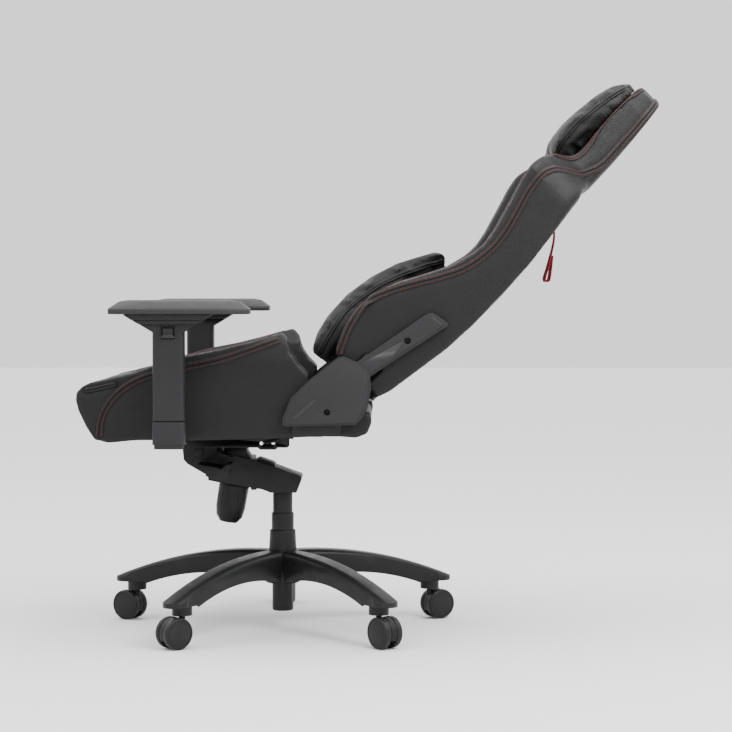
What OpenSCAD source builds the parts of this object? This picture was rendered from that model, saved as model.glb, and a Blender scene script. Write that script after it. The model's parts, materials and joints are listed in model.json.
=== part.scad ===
// Gaming chair, reclined. Millimetres, +Z up, the sitter faces -Y, the chair's left side is +X.
// The origin is the floor point under the gas lift's axis.

/* [Star base] */
// Distance from the lift axis to each caster socket
socket_r = 314; // [300:1:330]
// Direction of the first leg, from +X towards +Y
first_leg = 37.8; // [30:0.1:45]
// Height of the hub's top
hub_top = 154; // [150:1:156]
// Height of the hub's underside
hub_bottom = 89; // [85:1:95]
// Width of a leg at the hub
leg_w = 48; // [42:1:52]

/* [Casters] */
// Wheel diameter
wheel_d = 60; // [56:1:60]
// Width of one wheel
wheel_w = 14; // [12:1:16]
// Distance of the axle from the swivel axis
trail = 18; // [14:1:19]

/* [Lift] */
// Radius of the lift's outer tube below the hub
tube_r = 21; // [20:0.5:22]
// Radius of the lift's piston rod
rod_r = 14; // [12:0.5:14]

/* [Mechanism] */
// Half the width of the housing at its front
housing_half = 76; // [70:1:77]
// Half the width of the housing's sloping body
body_half = 42; // [38:1:45]
// Half the width of the plate under the seat
plate_half = 120; // [110:1:125]
// Radius of the tension knob
knob_r = 30; // [26:1:30]

/* [Seat] */
// Half the width of the seat over its side wings
seat_half = 264; // [260:1:265]
// Half the width of the centre cushion
cushion_half = 193; // [185:1:194]

/* [Backrest] */
// Rest angle of the backrest from the vertical
recline = 45; // [45:1:46]
// Half the width of the backrest
back_half = 266; // [262:1:266]
// Half the width of the centre pad
pad_half = 168; // [160:1:169]
// Half the width of the head part
head_half = 150; // [140:1:155]
// Half the width of the lumbar pillow
lumbar_half = 160; // [150:1:164]

/* [Armrests] */
// Distance of each armrest post from the middle plane
arm_x = 335; // [330:1:340]
// Length of an arm pad
pad_l = 257; // [250:1:265]
// Width of an arm pad
pad_w = 98; // [90:1:100]

/* [Hidden] */
$fn = 64;

black_plastic = [0.13, 0.13, 0.135];
black_paint = [0.10, 0.10, 0.105];
leather_black = [0.09, 0.09, 0.095];
steel = [0.55, 0.55, 0.57];
strap_red = [0.65, 0.03, 0.12];

fit_gap = 0.05;             // radial clearance of a running fit
part_gap = 0.5;             // clearance between moving neighbours
legs = 5;
leg_step = 360 / legs;
// Directions in which the five casters trail at rest
trail_angles = [39, 120, 180, 240, 309];

// Star base
arch_r = 790;               // radius of a leg's arched top
arch_at = 40;               // distance of the arch's crest from the axis
under_r = 421;              // radius of the arched underside
under_at = 135;             // distance of the underside's crest from the axis
under_top = 104.5;          // height of the underside's crest
tip_r = 24;                 // radius of the rounded leg tip, in plan
tip_at = 333;               // distance of the tip's centre from the axis
tip_bottom = 79;            // height of the underside at the tip
collar_r = 19;              // radius of a caster socket's collar
collar_bottom = 62;         // height of the collar's bottom
stem_r = 5.5;               // radius of a caster stem
stem_top = 96;              // height of the stem's end
hub_r = 33;                 // radius of the hub

// Casters
axle_z = wheel_d / 2;
hood_w = 12;                // width of the hood between the wheels
hood_r = axle_z - 0.8;
caster_axle_r = 4;

// Lift: the travel is from -50 to +20 mm
tube_bottom = 33;
tube_neck_r = 17;           // radius of the tube above the hub
tube_top = 190;
cover_low_top = 194;
cover_mid_bottom = 180;
cover_mid_top = 228;
cover_up_bottom = 212;
cover_up_top = 268.5;
piston_bottom = 104;
piston_top = 297;

// Mechanism
pivot = [-159, 354.5];      // Y and Z of the seat's tilt axis
pin_r = 6;
knob_at = [-96, 286.5];     // Y and Z of the knob's top centre
knob_tilt = 9.5;
tilt_lever_at = [-116, 318];
height_lever_at = [-85, 322];
height_lever_x = -38;       // X of the height lever's pin

// Seat
hinge = [105, 480];         // Y and Z of the recline axis
hinge_screw = [96.4, 444.4];
lever_at = [52, 452];       // Y and Z of the recline lever's axis
arm_screw = [31, 168];      // local Y and Z of the screw that holds an arm cover
screw_seat_x = 272;         // X from which the cover screws' seats are counted
shaft_r = 8;
plate_z = 392;              // height of the top of the plate under the seat
plate_rear = 19;
frame_z = 395;              // height of the underside of the seat frame
frame_h = 22;
cross_z = 405;              // height of the underside of the frame's rear cross tube
bolt_r = 4;
bolt_x = 95;
bolt_ys = [-150, 0];
rail_hole = [-35.4, 374.3];
rail_slot = [-12.1, 374];

// Armrests
post_y = -192;              // Y of the post's middle
post_half_y = 29;
post_half_x = 18;
post_bottom = 432;
post_top = 609;
flare_z = 594;              // height at which the post starts to widen
bracket_z = 383;            // height of the underside of the bracket's bar
slider_top = 616;
turntable_top = 626.5;
pad_z = 627;

// Extrudes a (Y, Z) outline along X, from x0 to x1
module prism_x(outline, x0, x1) {
    translate([x0, 0, 0]) rotate([90, 0, 90]) linear_extrude(x1 - x0) polygon(outline);
}

// A cylinder along X from x0 to x1 at (Y, Z)
module rod_x(at, r, x0, x1) {
    translate([x0, at[0], at[1]]) rotate([0, 90, 0]) cylinder(r = r, h = x1 - x0);
}

// A box from its lowest corner to its highest
module box(low, high) {
    translate(low) cube(high - low);
}

// Children are copied to both sides, mirrored in the middle plane
module both_sides() {
    children();
    mirror([1, 0, 0]) children();
}

// Places children drawn on the upright backrest, whose hinge is the local origin
module on_back() {
    translate([0, hinge[0], hinge[1]]) rotate([-recline, 0, 0]) children();
}

// Places children at a leg's socket, with local +X radial
module at_leg(k) {
    rotate([0, 0, first_leg + k * leg_step]) children();
}

// Places children at a caster's swivel axis, with local +X along its trail
module at_caster(k) {
    at_leg(k) translate([socket_r, 0, 0])
        rotate([0, 0, trail_angles[k] - first_leg - k * leg_step]) children();
}

// ---------- Star base ----------

// Plan of one leg, rounded at its tip
module leg_plan() {
    polygon([[0, -leg_w / 2], [tip_at, -tip_r + 3], [tip_at, tip_r - 3], [0, leg_w / 2]]);
    translate([tip_at, 0]) circle(r = tip_r);
}

// Section of the arched leg, set in by a wall: rounded top corners, sides that draw in downwards
module leg_section(inset = 0) {
    edge_r = 13 - inset;
    half = leg_w / 2 - inset;
    top = arch_r - inset;
    foot = half - 13;
    translate([top - edge_r - 2, edge_r - half]) square([edge_r + 2, 2 * (half - edge_r)]);
    translate([top - edge_r, edge_r - half]) circle(r = edge_r);
    translate([top - edge_r, half - edge_r]) circle(r = edge_r);
    polygon([[top - edge_r, -half], [top - edge_r, half], [arch_r - 90, foot], [arch_r - 90, -foot]]);
}

module leg() {
    wall = 5;
    difference() {
        intersection() {
            translate([arch_at, 0, hub_top - arch_r])
                rotate([90, 0, 0]) rotate_extrude($fn = 240) leg_section();
            translate([0, 0, 60]) linear_extrude(100) leg_plan();
        }
        translate([under_at, 60, under_top - under_r])
            rotate([90, 0, 0]) cylinder(r = under_r, h = 120, $fn = 240);
        box([288, -40, 50], [370, 40, tip_bottom]);
        // hollow underside
        intersection() {
            translate([arch_at, 0, hub_top - arch_r])
                rotate([90, 0, 0]) rotate_extrude($fn = 240) leg_section(wall);
            box([hub_r + 8, -leg_w, 60], [socket_r - collar_r - 6, leg_w, 160]);
            translate([0, 0, 60]) linear_extrude(100)
                polygon([[0, wall - leg_w / 2], [tip_at, 3 + wall - tip_r],
                         [tip_at, tip_r - 3 - wall], [0, leg_w / 2 - wall]]);
        }
    }
    // ribs across the hollow
    rib_half = leg_w / 2 - 2 * wall;
    for (r = [95, 150, 205])
        box([r, -rib_half, 114], [r + 3, rib_half, hub_top - wall / 2 - pow(r - arch_at, 2) / (2 * arch_r)]);
}

module star_base() {
    color(black_paint) difference() {
        union() {
            translate([0, 0, hub_bottom]) cylinder(r = hub_r, h = hub_top - hub_bottom);
            for (k = [0 : legs - 1]) at_leg(k) {
                leg();
                translate([socket_r, 0, collar_bottom])
                    cylinder(r = collar_r, h = 31);
            }
        }
        translate([0, 0, 70]) cylinder(r = tube_r + fit_gap, h = 100);
        for (k = [0 : legs - 1]) at_leg(k)
            translate([socket_r, 0, collar_bottom - 1]) cylinder(r = stem_r + fit_gap, h = 36);
    }
}

// ---------- Casters ----------

module caster_hood(k) {
    color(black_plastic) at_caster(k) {
        difference() {
            union() {
                translate([trail, hood_w / 2, axle_z]) rotate([90, 0, 0]) cylinder(r = hood_r, h = hood_w);
                translate([0, 0, axle_z]) cylinder(r = hood_w / 2, h = collar_bottom - 0.5 - axle_z);
            }
            // open below the axle, and hollow behind it
            box([trail - 40, -hood_w, -1], [trail + 40, hood_w, axle_z - 13]);
            box([trail + 10, -hood_w / 2 + 2.5, axle_z - 14],
                [trail + 22, hood_w / 2 - 2.5, axle_z + 8]);
        }
        // stem
        translate([0, 0, collar_bottom - 2]) cylinder(r = stem_r, h = stem_top - collar_bottom + 2);
        // axle
        translate([trail, hood_w / 2 + wheel_w - 3, axle_z]) rotate([90, 0, 0])
            cylinder(r = caster_axle_r, h = hood_w + 2 * wheel_w - 6);
    }
}

// Section of one wheel: (radius, distance from the caster's middle plane)
module wheel_section() {
    inner = hood_w / 2 + part_gap;
    outer = inner + wheel_w;
    round_r = 4;
    bore = caster_axle_r + fit_gap;
    difference() {
        union() {
            translate([0, inner + 1.5]) square([axle_z, wheel_w - 1.5 - round_r]);
            translate([0, inner]) square([axle_z - 1.5, 2]);
            translate([0, outer - round_r - 1]) square([axle_z - round_r, round_r + 1]);
            translate([axle_z - round_r, outer - round_r]) circle(r = round_r);
        }
        translate([-1, inner - 1]) square([bore + 1, wheel_w - 2]);
        // shallow groove that sets the cap off from the tyre
        translate([axle_z - 6.5, outer - 0.6]) square([1, 2]);
        translate([-50, -50]) square([50, 150]);
    }
}

module caster_wheels(k) {
    color(black_plastic) at_caster(k) translate([trail, 0, axle_z]) {
        rotate([-90, 0, 0]) rotate_extrude() wheel_section();
        rotate([90, 0, 0]) rotate_extrude() wheel_section();
    }
}

// ---------- Gas lift ----------

module gas_tube() {
    color(black_paint) rotate_extrude() polygon([
        [0, tube_bottom], [tube_r - 1.5, tube_bottom], [tube_r, tube_bottom + 1.5],
        [tube_r, hub_top - 6], [tube_neck_r, hub_top - 6], [tube_neck_r, tube_top],
        [rod_r + fit_gap, tube_top], [rod_r + fit_gap, 50], [0, 50]
    ]);
}

module gas_piston() {
    color(steel) translate([0, 0, piston_bottom]) cylinder(r = rod_r, h = piston_top - piston_bottom);
}

module cover_lower() {
    color(black_plastic) rotate_extrude() polygon([
        [22.6, hub_top], [27.5, hub_top], [27.3, hub_top + 4], [25.6, cover_low_top - 1.5],
        [24.8, cover_low_top], [22.6, cover_low_top]
    ]);
}

module cover_middle() {
    color(black_plastic) rotate_extrude() polygon([
        [20, cover_mid_bottom], [22.1, cover_mid_bottom], [22.1, cover_mid_top - 1],
        [21.3, cover_mid_top], [20, cover_mid_top]
    ]);
}

module cover_upper() {
    color(black_plastic) rotate_extrude() polygon([
        [17.5, cover_up_bottom], [19.5, cover_up_bottom], [19.5, cover_up_top],
        [rod_r, cover_up_top], [rod_r, cover_up_top - 3], [17.5, cover_up_top - 6]
    ]);
}

// ---------- Mechanism ----------

module mech_housing() {
    boss_bottom = cover_up_top + 0.5;
    color(black_paint) difference() {
        union() {
            // sloping body over the lift
            prism_x([[-150, 304], [-122, 291], [-55, 280], [-40, 278], [-22, 271], [29, 271],
                     [39, 297], [38, 303], [-14, 322], [-59, 336], [-110, 349], [-150, 349]],
                    -body_half, body_half);
            // raised rib on the body's top
            prism_x([[-50, 328], [-50, 337], [-45, 338], [-21, 330], [-14, 326], [-14, 318]], -30, 30);
            // spring block between the seat's side flanges
            prism_x([[-118, 345], [-112, 362], [-72, 362], [-69, 350], [-60, 336]], -36, 36);
            // stop tab under the body
            prism_x([[-64, 286], [-62, 274], [-52, 274], [-50, 284]], -16, 16);
            // front block that carries the tilt pin
            prism_x([[-192, 358], [-190, 339], [-183, 331], [-146, 309.5], [-124, 304],
                     [-100, 322], [-96, 344], [-140, 362]], -housing_half, housing_half);
            translate([0, 0, boss_bottom]) cylinder(r = 20.5, h = 30);
            // nose under the front block
            prism_x([[-146, 306], [-146, 295], [-127, 291], [-100, 286.5], [-100, 306]], -34, 34);
        }
        translate([0, 0, boss_bottom - 1]) cylinder(r = rod_r + fit_gap, h = piston_top + 1.5 - boss_bottom);
        rod_x(pivot, pin_r + fit_gap, -housing_half - 1, housing_half + 1);
        // socket for the knob's screw
        at_knob() translate([0, 0, 4]) mirror([0, 0, 1]) cylinder(r = 8 + fit_gap, h = 27);
        rod_x(tilt_lever_at, 5 + fit_gap, 30, housing_half + 1);
        // slot for the height lever's inner end
        box([-housing_half - 1, height_lever_at[0] - 8, height_lever_at[1] - 14],
            [-body_half + 12, height_lever_at[0] + 8, height_lever_at[1] + 14]);
        // lightening pockets in the front block's sides
        both_sides() prism_x([[-150, 330], [-128, 318], [-112, 330], [-112, 342], [-146, 345]],
                             housing_half - 12, housing_half + 1);
    }
    // pin across the slot, on which the height lever turns
    color(steel) translate([height_lever_x, height_lever_at[0] - 11, height_lever_at[1]])
        rotate([-90, 0, 0]) cylinder(r = 3, h = 22);
}

// Places children at the knob's top centre, with local -Z along the knob's axis downwards
module at_knob() {
    translate([0, knob_at[0], knob_at[1]]) rotate([-knob_tilt, 0, 0]) mirror([0, 0, 1]) children();
}

module tension_knob() {
    color(black_plastic) at_knob() difference() {
        union() {
            rotate_extrude() polygon([
                [0, 3], [knob_r, 3], [knob_r, 8], [knob_r - 1, 50], [knob_r - 4, 66],
                [knob_r - 11, 76], [knob_r - 13, 78], [0, 78]
            ]);
            translate([0, 0, -20]) cylinder(r = 8, h = 25);
        }
        // grip flutes
        for (a = [0 : 30 : 330]) rotate([0, 0, a])
            translate([knob_r + 2.6, 0, 20]) cylinder(r = 4, h = 62);
    }
}

module height_lever() {
    y = height_lever_at[0];
    z = height_lever_at[1];
    color(black_plastic) difference() {
        union() {
            translate([-150, y, z]) rotate([0, 90, 0]) cylinder(r = 5, h = 150 - body_half - 14);
            box([-body_half - 18, y - 7.5, z - 7], [height_lever_x + 5, y + 7.5, z + 7]);
            // paddle
            translate([0, 0, z - 5]) linear_extrude(10) union() {
                translate([-205, y - 20]) square([60, 40]);
                translate([-205, y]) circle(r = 20);
                polygon([[-146, y - 20], [-120, y - 6], [-120, y + 6], [-146, y + 20]]);
            }
        }
        translate([height_lever_x, y - 9, z]) rotate([-90, 0, 0]) cylinder(r = 3 + fit_gap, h = 18);
    }
}

module tilt_lever() {
    y = tilt_lever_at[0];
    z = tilt_lever_at[1];
    color(black_plastic) {
        rod_x(tilt_lever_at, 5, housing_half - 40, 118);
        // paddle that curves down at its middle
        prism_x([[y - 42, z + 17], [y - 38, z + 20], [y + 2, z + 13], [y + 6, z + 10], [y + 18, z + 20],
                 [y + 25, z + 19], [y + 16, z - 6], [y + 6, z - 12], [y - 8, z - 10], [y - 22, z + 2]],
                100, 176);
    }
}

// ---------- Seat ----------

module seat_plate() {
    t = 3;
    color(black_paint) difference() {
        union() {
            box([-plate_half, -196, plate_z - t], [plate_half, plate_rear, plate_z]);
            // side flanges with their lugs
            both_sides() prism_x([[-196, 392], [-196, 384], [-186, 368], [-174, 366], [-42, 366], [-38, 362],
                                  [-8, 362], [-4, 366], [plate_rear - 4, 366], [plate_rear, 370], [plate_rear, 392]],
                                 plate_half - t, plate_half);
            // ears that hang on the tilt pin
            both_sides() prism_x([[-194, 390], [-190, 346], [-178, 336], [-146, 336], [-128, 350], [-112, 390]],
                                 housing_half + 2, housing_half + 8);
        }
        rod_x(pivot, pin_r + fit_gap, -plate_half, plate_half);
        rod_x(rail_hole, 3.3, -plate_half - 1, plate_half + 1);
        both_sides() rod_x([rail_slot[0] - 2, rail_slot[1]], 1.5, plate_half - 5, plate_half + 1);
        both_sides() rod_x([rail_slot[0] + 2, rail_slot[1]], 1.5, plate_half - 5, plate_half + 1);
        both_sides() box([plate_half - 5, rail_slot[0] - 2, rail_slot[1] - 1.5],
                         [plate_half + 1, rail_slot[0] + 2, rail_slot[1] + 1.5]);
        at_plate_bolts() cylinder(r = bolt_r + fit_gap, h = 60, center = true);
        // window over the mechanism
        box([-50, -120, 380], [50, -30, 400]);
    }
}

// Children at each of the four bolts that hold the plate to the seat frame
module at_plate_bolts() {
    for (y = bolt_ys) both_sides() translate([bolt_x, y, plate_z]) children();
}

// Children at each of the four bolts that hold the armrest brackets
module at_arm_bolts() {
    for (y = [-12, 12]) both_sides() translate([178, post_y + y, plate_z]) children();
}

module tilt_pin() {
    head_r = 9;
    color(steel) {
        rod_x(pivot, pin_r, -housing_half - 9, housing_half + 9);
        both_sides() rod_x(pivot, head_r, housing_half + 8, housing_half + 12);
    }
}

// A bolt upwards from the face at height z under the seat
module bolt(z) {
    translate([0, 0, z - plate_z]) {
        cylinder(r = bolt_r, h = 22);
        translate([0, 0, -6]) cylinder(r = 6.5, h = 6, $fn = 6);
    }
}

module seat_bolts() {
    color(steel) at_plate_bolts() bolt(plate_z - 3);
    color(steel) at_arm_bolts() bolt(bracket_z);
}

module seat_frame() {
    tube = 24;
    half = 190;
    front = -318;
    rear = 60;
    color(steel) difference() {
        union() {
            difference() {
                box([-half, front, frame_z], [half, rear + tube, frame_z + frame_h]);
                box([-half + tube, front + tube, frame_z - 1], [half - tube, rear, frame_z + frame_h + 1]);
            }
            // straps over the mechanism's plate
            for (y = bolt_ys) box([-half, y - 16, frame_z], [half, y + 16, frame_z + 5]);
            // cross tube out to the side plates of the recliner
            box([-268, rear + 3, cross_z], [268, rear + 21, cross_z + 16]);
            both_sides() prism_x([[30, 398], [120, 398], [128, 450], [128, 492], [112, 503], [96, 503],
                                  [72, 492], [32, 445]], 266.3, 269.5);
        }
        rod_x(hinge, shaft_r + fit_gap, -280, 280);
        rod_x(hinge_screw, 3.5 + fit_gap, -280, 280);
        rod_x(lever_at, 5 + fit_gap, -280, 280);
        at_plate_bolts() cylinder(r = bolt_r + fit_gap, h = 60, center = true);
        at_arm_bolts() cylinder(r = bolt_r + fit_gap, h = 60, center = true);
    }
}

module seat_cushion() {
    color(leather_black)
        prism_x([[-338, 397], [-352, 415], [-364, 446], [-367, 468], [-360, 486], [-342, 496], [-300, 500],
                 [-200, 500], [-100, 494], [0, 487], [40, 484], [50, 474], [54, 446], [60, 442], [165, 440],
                 [174, 430], [176, 414], [168, 402], [150, 397], [86, 397], [86, 424], [-322, 424],
                 [-322, 397]], -cushion_half, cushion_half);
}

// Left wing of the seat; the right one is its mirror image
module seat_wing() {
    color(leather_black) difference() {
        intersection() {
            prism_x([[-313, 386.5], [-338, 391], [-353, 415], [-368, 446], [-373, 466], [-371, 480], [-362, 490],
                     [-347, 497], [-309, 505], [-262, 516], [-231, 528], [-167, 547], [-104, 559], [-48, 573],
                     [0, 587], [12, 589], [21, 580], [28, 553], [41, 532], [60, 513], [60, 470], [64, 443],
                     [165, 441], [176, 438], [178, 424], [170, 404], [150, 396], [101, 400], [27, 396],
                     [-117, 391.5], [-258, 391.5]],
                    190, seat_half);
            translate([0, 200, 0]) rotate([90, 0, 0]) linear_extrude(600)
                polygon([[195, 380], [262, 380], [264, 384], [264, 540], [258, 575], [248, 590], [226, 590],
                         [206, 560], [195, 500]]);
        }
        // channel for the frame's rear cross tube
        box([180, 62.5, cross_z - 0.5], [280, 81.5, cross_z + 16.5]);
    }
}

module seat_bottom() {
    color([0.07, 0.07, 0.075]) difference() {
        box([-194, -318, plate_z], [194, 84, frame_z]);
        at_plate_bolts() cylinder(r = bolt_r + fit_gap, h = 60, center = true);
        at_arm_bolts() cylinder(r = bolt_r + fit_gap, h = 60, center = true);
    }
}

// ---------- Recliner ----------

hinge_outline = [[13, 430], [28, 470], [63, 504], [116, 546], [126, 548], [154, 537], [172, 523], [176, 516],
                 [178, 486], [171, 450], [150, 421], [20, 418], [14, 421]];

// Cover over the left recliner: an outer face with a rim along its front and its bottom.
// lever_hole is true on the side that carries the recline lever.
module hinge_cover(lever_hole) {
    face_in = 286.5;
    color(black_plastic) difference() {
        union() {
            prism_x(hinge_outline, face_in, 288);
            prism_x([for (p = hinge_outline) [95 + (p[0] - 95) * 0.94, 480 + (p[1] - 480) * 0.94]], 288, 290);
            prism_x([[13, 430], [28, 470], [46, 487], [50, 482], [34, 466], [20, 430], [22, 424], [148, 426],
                     [158, 440], [163, 436], [150, 421], [20, 418], [14, 421]], 270, face_in + 0.1);
            rod_x(hinge_screw, 8, 270, face_in + 0.1);
        }
        rod_x(hinge_screw, 3.6, 260, 300);
        rod_x(hinge_screw, 6, screw_seat_x + 5, 300);
        if (lever_hole) rod_x(lever_at, 5 + fit_gap, 260, 300);
    }
    // raised stripe on the face
    if (!lever_hole) color(black_plastic) prism_x([[28, 432], [72, 468], [80, 468], [40, 432]], 289.9, 291);
}

module hinge_screws() {
    color(steel) both_sides() {
        rod_x(hinge_screw, 3.5, 265, screw_seat_x + 5);
        rod_x(hinge_screw, 5.6, screw_seat_x + 5, screw_seat_x + 8);
    }
}

module recline_shaft() {
    color(steel) rod_x(hinge, shaft_r, -286, 286);
}

// Lever on the right side, forward of the recliner
module recline_lever() {
    color(black_plastic) {
        rod_x(lever_at, 14, -301, -291);
        prism_x([[54, 440], [-60, 428], [-78, 432], [-82, 442], [-76, 452], [-60, 454], [50, 465]], -300, -294);
    }
    color(steel) rod_x(lever_at, 5, -301, -265.5);
}

// ---------- Backrest, drawn upright about the hinge ----------

frame_plane = 57;           // distance of the frame's tubes behind the hinge plane
split_y = 46;               // plane between the front padding and the rear shell
cavity_y = 69;              // front face of the shell behind the frame

module back_frame() {
    tube = 11;
    color(steel) on_back() {
        both_sides() translate([200, frame_plane, 40]) cylinder(r = tube, h = 550);
        for (z = [60, 300, 570])
            translate([-200, frame_plane, z]) rotate([0, 90, 0]) cylinder(r = tube - 1, h = 400);
        // plates out to the recliner, under the side covers
        both_sides() box([200, frame_plane - 5, 62], [252, frame_plane + 5, 98]);
        both_sides() box([246, -20, 62], [252, frame_plane + 5, 98]);
    }
}

// Plan of the shell and the head part seen from the front: half outline (X, Z)
module back_front_outline() {
    polygon([[-205, 28], [-back_half, 56], [-back_half, 560], [-252, 590], [-215, 610], [-178, 628],
             [-165, 700], [-head_half, 790], [-128, 822], [-100, 832], [100, 832], [128, 822],
             [head_half, 790], [165, 700], [178, 628], [215, 610], [252, 590], [back_half, 560],
             [back_half, 56], [205, 28]]);
}

module front_prism(y0, y1) {
    translate([0, y1, 0]) rotate([90, 0, 0]) linear_extrude(y1 - y0) children();
}

module back_shell() {
    color(leather_black) on_back() difference() {
        intersection() {
            prism_x([[split_y, 20], [56, 30], [73, 77], [83, 146], [92, 208], [95, 271], [94, 352], [89, 435],
                     [79, 510], [71, 566], [68, 612], [split_y, 612]], -back_half, back_half);
            front_prism(0, 120) back_front_outline();
        }
        box([-228, 0, 25], [228, cavity_y, 600]);
        box([-253, 0, 55], [253, cavity_y, 105]);
        arm_recess();
    }
}

// Left bolster with the shoulder wing; the right one is its mirror image
module back_bolster() {
    color(leather_black) on_back() difference() {
        intersection() {
            prism_x([[split_y, 40], [-20, 40], [-43, 59], [-59, 85], [-69, 116], [-74, 150], [-73, 185],
                     [-57, 232], [-30, 282], [-8, 326], [4, 372], [6, 400], [1, 432], [-16, 490], [-31, 538],
                     [-36, 566], [-32, 590], [-21, 608], [-17, 612], [split_y, 612]], pad_half + 4, back_half);
            front_prism(-90, 60) back_front_outline();
        }
        // the inner side slopes towards the centre pad
        translate([0, 0, 30]) linear_extrude(600)
            polygon([[100, -100], [215, -100], [pad_half + 6, 12], [pad_half + 6, 60], [100, 60]]);
        arm_recess();
    }
}

// Room in the padding for the frame's plates and the arms' tabs
module arm_recess() {
    box([240, -25, 55], [253, cavity_y, 105]);
    box([252, -7, 62], [270, 37, 98]);
    mirror([1, 0, 0]) {
        box([240, -25, 55], [253, cavity_y, 105]);
        box([252, -7, 62], [270, 37, 98]);
    }
}

module back_pad() {
    color(leather_black) on_back()
        prism_x([[44, 16], [0, 11], [-22, 13], [-33, 24], [-33, 200], [-20, 262], [0, 325], [16, 380], [22, 430],
                 [18, 500], [10, 570], [7, 600], [7, 612], [44, 612]], -pad_half, pad_half);
}

module back_head() {
    color(leather_black) on_back() intersection() {
        union() {
            prism_x([[7, 612], [12, 660], [9, 700], [6, 751], [6, 819], [12, 833], [44, 833], [52, 822],
                     [56, 790], [61, 740], [66, 680], [68, 613]], -180, 180);
            // necks beside the pillow, which carry the shoulder wings' crests over to the head
            both_sides() prism_x([[-17, 612], [-9, 621], [5, 634], [15, 648], [19, 663], [16, 690], [12, 723],
                                  [11, 756], [7, 812], [40, 812], [60, 612]], 142, 240);
        }
        front_prism(-30, 80) difference() {
            back_front_outline();
            translate([-300, 0]) square([600, 612.5]);
        }
    }
}

// Left arm cover from the recliner up the side of the backrest
module back_arm() {
    color(black_plastic) on_back() difference() {
        union() {
            prism_x([[-19, -12], [-8.4, 69.5], [22, 231], [28, 238], [60, 244], [64, 240], [38, 118], [12, -16],
                     [-6, -20]], 271, 283.6);
            prism_x([[-13, -4], [-1, 73], [27, 226], [32, 232], [54, 236], [57, 232], [33, 118], [10, -6]],
                    283.5, 285.5);
        }
        rod_x([0, 0], shaft_r + fit_gap, 260, 300);
        rod_x(arm_screw, 3.6, 260, 300);
        rod_x(arm_screw, 6, screw_seat_x + 2, 300);
    }
    // tab through the padding to the frame
    color(steel) on_back() box([252, -6, 63], [271, 28, 97]);
}

module back_arm_screws() {
    color(steel) on_back() both_sides() {
        rod_x(arm_screw, 3.5, 266.5, screw_seat_x + 2);
        rod_x(arm_screw, 5.6, screw_seat_x + 2, screw_seat_x + 5);
    }
}

module head_pillow() {
    color(leather_black) on_back() intersection() {
        prism_x([[4, 614], [-20, 612], [-34, 640], [-41, 695], [-35, 756], [-22, 812], [-9, 832], [4, 835]],
                -135, 135);
        front_prism(-60, 10) polygon([[-100, 612], [-128, 640], [-135, 700], [-128, 780], [-112, 814], [-80, 830],
                                      [0, 835], [80, 830], [112, 814], [128, 780], [135, 700], [128, 640],
                                      [100, 612]]);
    }
}

module lumbar_pillow() {
    color(leather_black) on_back()
        prism_x([[-34, 24], [-74, 18], [-86, 31], [-100, 87], [-103, 146], [-94, 204], [-77, 257], [-50, 308],
                 [-40, 328], [-26, 337], [-14, 333], [-34, 250]], -lumbar_half, lumbar_half);
}

// Webbing strap that hangs from the back, folded up at its lower end
module pull_strap() {
    half = 11;
    color(strap_red) prism_x([[535.4, 801], [536, 790], [530.5, 762], [512, 700], [511, 691], [514.5, 686],
                              [521, 686], [525.5, 691], [528, 699], [536, 738], [535, 743], [532, 743],
                              [530.5, 739], [523, 701], [520, 692], [517, 692], [516.5, 698], [535, 761],
                              [539.6, 788], [538.8, 801], [537, 803]],
                             -half, half);
}

// ---------- Left armrest; the right one is its mirror image ----------

module rounded_post(half_x, half_y, r) {
    square([2 * (half_x - r), 2 * half_y], center = true);
    square([2 * half_x, 2 * (half_y - r)], center = true);
    for (sx = [-1, 1], sy = [-1, 1]) translate([sx * (half_x - r), sy * (half_y - r)]) circle(r = r);
}

module arm_bracket() {
    color(black_paint) difference() {
        union() {
            // flat bar under the seat
            box([150, post_y - 22, bracket_z], [arm_x + 10, post_y + 22, bracket_z + 6]);
            // spacer up to the seat's underside
            box([160, post_y - 22, bracket_z + 5], [193, post_y + 22, plate_z]);
            // upright
            translate([arm_x, post_y, bracket_z + 5]) linear_extrude(168) rounded_post(10, 20, 4);
        }
        at_arm_bolts() cylinder(r = bolt_r + fit_gap, h = 60, center = true);
    }
}

module arm_foot() {
    color(black_plastic) difference() {
        union() {
            translate([arm_x, post_y, 388]) linear_extrude(42) rounded_post(post_half_x, post_half_y + 1, 9);
            translate([arm_x, post_y, 380]) linear_extrude(9) rounded_post(post_half_x - 1, post_half_y - 2, 9);
        }
        translate([arm_x, post_y, bracket_z]) linear_extrude(60) rounded_post(10.2, 20.2, 4);
        box([arm_x - 40, post_y - 22.2, bracket_z - 0.2], [arm_x + 10.2, post_y + 22.2, bracket_z + 6.2]);
    }
}

module arm_post() {
    color(black_plastic) difference() {
        union() {
            translate([arm_x, post_y, post_bottom]) linear_extrude(post_top - post_bottom)
                rounded_post(post_half_x, post_half_y, 9);
            // flare under the slider
            prism_x([[post_y - post_half_y + 1, flare_z], [post_y - flare(post_top), post_top],
                     [post_y + flare(post_top), post_top], [post_y + post_half_y - 1, flare_z]],
                    arm_x - post_half_x, arm_x + post_half_x);
        }
        translate([arm_x, post_y, post_bottom - 1]) linear_extrude(128) rounded_post(10.5, 20.5, 4);
        // pocket for the trigger
        box([arm_x + post_half_x - 7, post_y - 12.5, 582], [arm_x + post_half_x + 1, post_y + 12.5, 606]);
    }
}

module arm_trigger() {
    x0 = arm_x + post_half_x - 6.5;
    color(black_plastic) {
        box([x0, post_y - 9, 588], [x0 + 7, post_y + 9, 601]);
        prism_x([[post_y - 12, 583.5], [post_y - 12, 587], [post_y - 8, 590], [post_y + 8, 590],
                 [post_y + 12, 587], [post_y + 12, 583.5]], x0 + 1, x0 + 11);
    }
}

// Half the length of the flare under the pad at height z
function flare(z) = post_half_y + 1.6 * (z - flare_z);

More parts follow.
